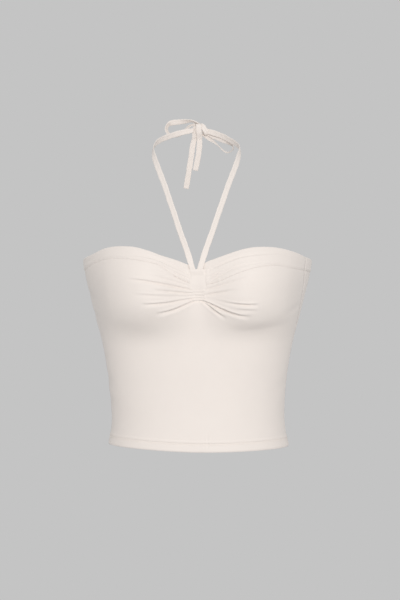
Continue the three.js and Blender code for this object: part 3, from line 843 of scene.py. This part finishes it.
TAIL_RIGHT = [
    (2.4, 3.4, -5.2, 1, 0, 0),
    (2.7, 3.8, -14.5, 1, 0, 0),
    (2.3, 4.4, -22.7, 1, 0, 0.1),
    (0.7, 5.4, -35.9, 1, 0, 0.2),
    (-3.1, 7, -54.2, 1, 0, 0.2),
]
TUBE_WIDTH = 7.4
TUBE_WALL = 2.0
TUBE_CORNERS = 24


def flat_tube(name, route, between, seed, pinch=(0, 0), thin=(0, 0)):
    """Turned tube of jersey, pressed flat, with rolled edges, a shallow middle and soft uneven pulls.
    Each end may be pinched narrower or pressed thinner."""
    table = smooth_line(route, between)
    track, wide = table[:, :3], table[:, 3:]
    along = np.gradient(track, axis=0)
    along /= np.linalg.norm(along, axis=1, keepdims=True)
    out = np.cross(wide, along)
    out /= np.linalg.norm(out, axis=1, keepdims=True)
    across = np.cross(along, out)
    length = np.concatenate([[0], np.cumsum(np.linalg.norm(np.diff(track, axis=0), axis=1))])
    turn = np.arange(TUBE_CORNERS) / TUBE_CORNERS * 2 * math.pi
    flat = np.sign(np.cos(turn)) * np.abs(np.cos(turn)) ** 0.75
    thick = np.sign(np.sin(turn)) * np.abs(np.sin(turn)) ** 0.8
    to_start, to_end = length, length[-1] - length
    narrow = 1 - pinch[0] * bell(to_start, 7) - pinch[1] * bell(to_end, 7)
    pressed = 1 - thin[0] * bell(to_start, 5) - thin[1] * bell(to_end, 5)
    uneven = 1 + 0.035 * np.sin(length * 0.31 + seed) + 0.02 * np.sin(length * 0.83 + 2 * seed)
    half = TUBE_WIDTH / 2 * narrow * uneven
    wall = TUBE_WALL / 2 * pressed * (0.85 + 0.1 * np.sin(length * 0.22 + 3 * seed) + 0.7 * (1 - narrow))
    rolled = (1 - 0.22 * (1 - flat**2) - 0.35 * bell(flat, 0.25))[None, :]
    pull = 0.1 * np.sin(length[:, None] * 0.55 + flat[None, :] * 2.2 + seed) * (1 - flat[None, :] ** 2)
    rise = wall[:, None] * thick[None, :] * rolled + pull
    rings = track[:, None, :] + across[:, None, :] * (half[:, None] * flat[None, :])[..., None]
    rings = rings + out[:, None, :] * rise[..., None]
    uv = np.stack([turn[None, :] * TUBE_WIDTH / math.pi + 0 * rise, length[:, None] + 0 * rise], -1)
    piece = closed_rings(name, rings, uv, JERSEY)
    return piece, rings.mean(axis=1) * MM


strap_right, _ = flat_tube("strap_right_jersey", STRAP_RIGHT, 12, 0.4, pinch=(0.1, 0.2), thin=(0.45, 0))
strap_left, _ = flat_tube("strap_left_jersey", STRAP_LEFT, 12, 1.7, pinch=(0.1, 0.2), thin=(0.45, 0))
loop_left, _ = flat_tube("bow_loop_left_jersey", LOOP_LEFT, 10, 2.3, pinch=(0.15, 0.3))
loop_right, _ = flat_tube("bow_loop_right_jersey", LOOP_RIGHT, 10, 3.1, pinch=(0.2, 0.3))
tail_left, tail_left_path = flat_tube("bow_tail_left_jersey", TAIL_LEFT, 8, 0.9, pinch=(0.2, 0))
tail_right, tail_right_path = flat_tube("bow_tail_right_jersey", TAIL_RIGHT, 8, 2.6, pinch=(0.1, 0))


def join_pieces(name, pieces):
    bpy.ops.object.select_all(action="DESELECT")
    for piece in pieces:
        piece.select_set(True)
    bpy.context.view_layer.objects.active = pieces[0]
    bpy.ops.object.join()
    pieces[0].name = name
    return pieces[0]


# Turns of the tube that make the knot: the middle one runs down over the right tail
WRAP_FRONT = [
    (-1, 6, 7.2, 1, 0.2, 0.2),
    (0.4, 3, 7.8, 1, 0.1, 0.2),
    (1.2, 0.6, 6.6, 1, 0, 0),
    (1.6, -0.9, 3.6, 1, 0, 0),
    (1.8, -1.2, 0, 1, 0, 0),
    (2, -0.7, -4, 1, 0, 0),
    (2.4, 1.4, -8.4, 1, 0, 0),
    (2.6, 3.3, -12.4, 1, 0, 0),
]
WRAP_LEFT = [
    (-3.2, 5.6, 6.4, 0.8, -0.6, 0),
    (-4, 4.2, 3.6, 0.8, -0.6, 0),
    (-4, 4, -0.5, 0.9, -0.4, 0),
    (-3.9, 4.4, -4.6, 1, 0, 0),
    (-4.2, 5, -9.5, 1, 0, 0.1),
    (-4.8, 6.6, -12.6, 1, 0, 0.2),
]
WRAP_SIDE = [
    (2.4, 5.4, 7, 0.7, 0.2, 0.6),
    (5, 2.6, 6.4, 0.7, 0.1, 0.6),
    (7.2, 0.4, 4.2, 0.8, 0, 0.6),
    (9.2, -0.9, 1.2, 0.8, 0, 0.6),
    (10.8, -0.9, -1.8, 0.8, 0, 0.5),
    (12, 0.4, -4.8, 0.9, 0, 0.4),
    (12.4, 3, -6.4, 0.9, 0, 0.3),
]


KNOT_MIDDLE = (0.4, 5.4, 1)
KNOT_HALF = (5.2, 3.8, 5.6)
KNOT_CORNERS = 40


def knot_core():
    """Rounded lump of the tied tube, with the grooves between its turns."""
    around = np.arange(KNOT_CORNERS) / KNOT_CORNERS * 2 * math.pi
    level = np.linspace(-0.5 * math.pi + 0.12, 0.5 * math.pi - 0.12, 25)

    def squared(value):
        return np.sign(value) * np.abs(value) ** 0.8

    x = np.cos(level)[:, None] * np.sin(around)[None, :]
    y = -np.cos(level)[:, None] * np.cos(around)[None, :]
    z = np.sin(level)[:, None] + 0 * around[None, :]
    groove = 1 - 0.09 * bell(x + 0.55 + 0.25 * z, 0.16) - 0.07 * bell(z - 0.35 * x + 0.1, 0.14) * (y > 0)
    sides = zip(KNOT_MIDDLE, KNOT_HALF, (x, y, z))
    points = np.stack([middle + half * squared(side) * groove for middle, half, side in sides], -1)
    uv = np.stack([around[None, :] * 5 + 0 * z, z * 6], -1)
    return closed_rings("knot_core", points, uv, JERSEY)


wrap_front, _ = flat_tube("wrap_front", WRAP_FRONT, 8, 0.2, pinch=(0.2, 0), thin=(0, 0.7))
wrap_left, _ = flat_tube("wrap_left", WRAP_LEFT, 8, 1.9, pinch=(0.3, 0.2), thin=(0, 0.7))
wrap_side, _ = flat_tube("wrap_side", WRAP_SIDE, 8, 1.1, pinch=(0.25, 0.2))
knot = join_pieces("bow_knot_jersey", [knot_core(), wrap_front, wrap_left, wrap_side])


# One tree sews every row of stitches: it lays short threads along a guide line
def stitch_tree():
    tree = bpy.data.node_groups.new("row_of_stitches", "GeometryNodeTree")
    tree.interface.new_socket("Guide", in_out="INPUT", socket_type="NodeSocketGeometry")
    tree.interface.new_socket("Stitch length", in_out="INPUT", socket_type="NodeSocketFloat")
    tree.interface.new_socket("Gap", in_out="INPUT", socket_type="NodeSocketFloat")
    tree.interface.new_socket("Thread width", in_out="INPUT", socket_type="NodeSocketFloat")
    tree.interface.new_socket("Thread", in_out="INPUT", socket_type="NodeSocketMaterial")
    tree.interface.new_socket("Stitches", in_out="OUTPUT", socket_type="NodeSocketGeometry")
    given = add_node(tree, "NodeGroupInput").outputs
    pitch = add_node(tree, "ShaderNodeMath", None, {0: given["Stitch length"], 1: given["Gap"]})
    line = add_node(tree, "GeometryNodeMeshToCurve", None, {"Mesh": given["Guide"]})
    spacing = {"Curve": line.outputs["Curve"], "Length": pitch.outputs[0]}
    spaced = add_node(tree, "GeometryNodeResampleCurve", {"mode": "LENGTH"}, spacing)
    bead = add_node(tree, "GeometryNodeMeshUVSphere", None, {"Segments": 6, "Rings": 4, "Radius": 0.5})
    size = add_node(tree, "ShaderNodeCombineXYZ", None, {
        "X": given["Thread width"],
        "Y": given["Thread width"],
        "Z": given["Stitch length"],
    })
    heading = add_node(tree, "GeometryNodeInputTangent")
    tangent = {"Vector": heading.outputs["Tangent"]}
    turned = add_node(tree, "FunctionNodeAlignRotationToVector", {"axis": "Z"}, tangent)
    sewn = add_node(tree, "GeometryNodeInstanceOnPoints", None, {
        "Points": spaced.outputs["Curve"],
        "Instance": bead.outputs["Mesh"],
        "Rotation": turned.outputs["Rotation"],
        "Scale": size.outputs["Vector"],
    })
    real = add_node(tree, "GeometryNodeRealizeInstances", None, {"Geometry": sewn.outputs["Instances"]})
    soft = add_node(tree, "GeometryNodeSetShadeSmooth", None, {"Geometry": real.outputs["Geometry"]})
    dyed = add_node(tree, "GeometryNodeSetMaterial", None, {
        "Geometry": soft.outputs["Geometry"],
        "Material": given["Thread"],
    })
    add_node(tree, "NodeGroupOutput", None, {"Stitches": dyed.outputs["Geometry"]})
    return tree


STITCHES = stitch_tree()


def sew(name, lines, stitch, gap, width):
    """Stitches along guide lines, made a plain mesh."""
    points, edges = [], []
    for line in lines:
        start = len(points)
        points += (np.asarray(line) * MM).tolist()
        edges += [(start + i, start + i + 1) for i in range(len(line) - 1)]
    guide_mesh = bpy.data.meshes.new(name + "_guide")
    guide_mesh.from_pydata(points, edges, [])
    guide = bpy.data.objects.new(name + "_guide", guide_mesh)
    bpy.context.collection.objects.link(guide)
    modifier = guide.modifiers.new("stitches", "NODES")
    modifier.node_group = STITCHES
    given = {"Stitch length": stitch * MM, "Gap": gap * MM, "Thread width": width * MM, "Thread": THREAD}
    for item in STITCHES.interface.items_tree:
        if item.name in given:
            modifier[item.identifier] = given[item.name]
    bpy.context.view_layer.update()
    evaluated = guide.evaluated_get(bpy.context.evaluated_depsgraph_get())
    mesh = bpy.data.meshes.new_from_object(evaluated)
    mesh.name = name
    sewn = bpy.data.objects.new(name, mesh)
    bpy.context.collection.objects.link(sewn)
    bpy.data.objects.remove(guide)
    return sewn


def hem_line(angles, above, creases):
    """A row of stitches at one height over the lower edge."""
    drop = hem_at(angles) - above
    top = 0 * drop + SEAM_TOP
    return cloth_at(angles, drop, panel_height(angles, drop, top, creases) + 0.12)


END_MARGIN = 0.5
HEM_POINTS = 420
HEM_END = RIGHT_SEAM[-1][1]
front_run = np.linspace(LEFT_SEAM + END_MARGIN, HEM_END - END_MARGIN, HEM_POINTS)
back_run = np.linspace(HEM_END + END_MARGIN, 360 + LEFT_SEAM - END_MARGIN, HEM_POINTS)
hem_rows = []
for run, creases in ((front_run, FRONT_CREASES), (back_run, BACK_CREASES)):
    for side in (-HALF_ROW_GAP, HALF_ROW_GAP):
        hem_rows.append(hem_line(run, HEM_STITCH + side, creases))
hem_stitches = sew("hem_stitches", hem_rows, stitch=2.3, gap=0.6, width=0.42)


def band_line(edge, turns, creases):
    """A row of stitches on the band, 2 mm over its seam."""
    drop = smooth(edge, 2, turns) - 2
    raised = folds(body_point(turns, drop), creases) + pucker(turns, 1.9 + 0 * turns, 0.18)
    return cloth_at(turns, drop, raised - 0.03)


left_row = band_line(FRONT_EDGE, np.linspace(-95, -7, 260), BAND_CREASES)
right_row = band_line(FRONT_EDGE, np.linspace(9, 73.5, 220), BAND_CREASES)
back_row = band_line(BACK_EDGE, np.linspace(74.5, 263.5, 400), [])
band_stitches = sew("band_stitches", [left_row, right_row, back_row], stitch=2.0, gap=0.6, width=0.34)

# Every piece stands for its CAD node and takes the one fabric
PIECES = {
    front_panel: "front_panel",
    back_panel: "back_panel",
    front_band: "front_band",
    back_band: "back_band",
    keeper: "centre_keeper",
    strap_left: "strap_left",
    strap_right: "strap_right",
    knot: "bow_knot",
    loop_left: "bow_loop_left",
    loop_right: "bow_loop_right",
    tail_left: "bow_tail_left",
    tail_right: "bow_tail_right",
}
for piece, node in PIECES.items():
    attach(piece, "root")
    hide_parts(node)
for stitches in (hem_stitches, band_stitches):
    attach(stitches, "root")
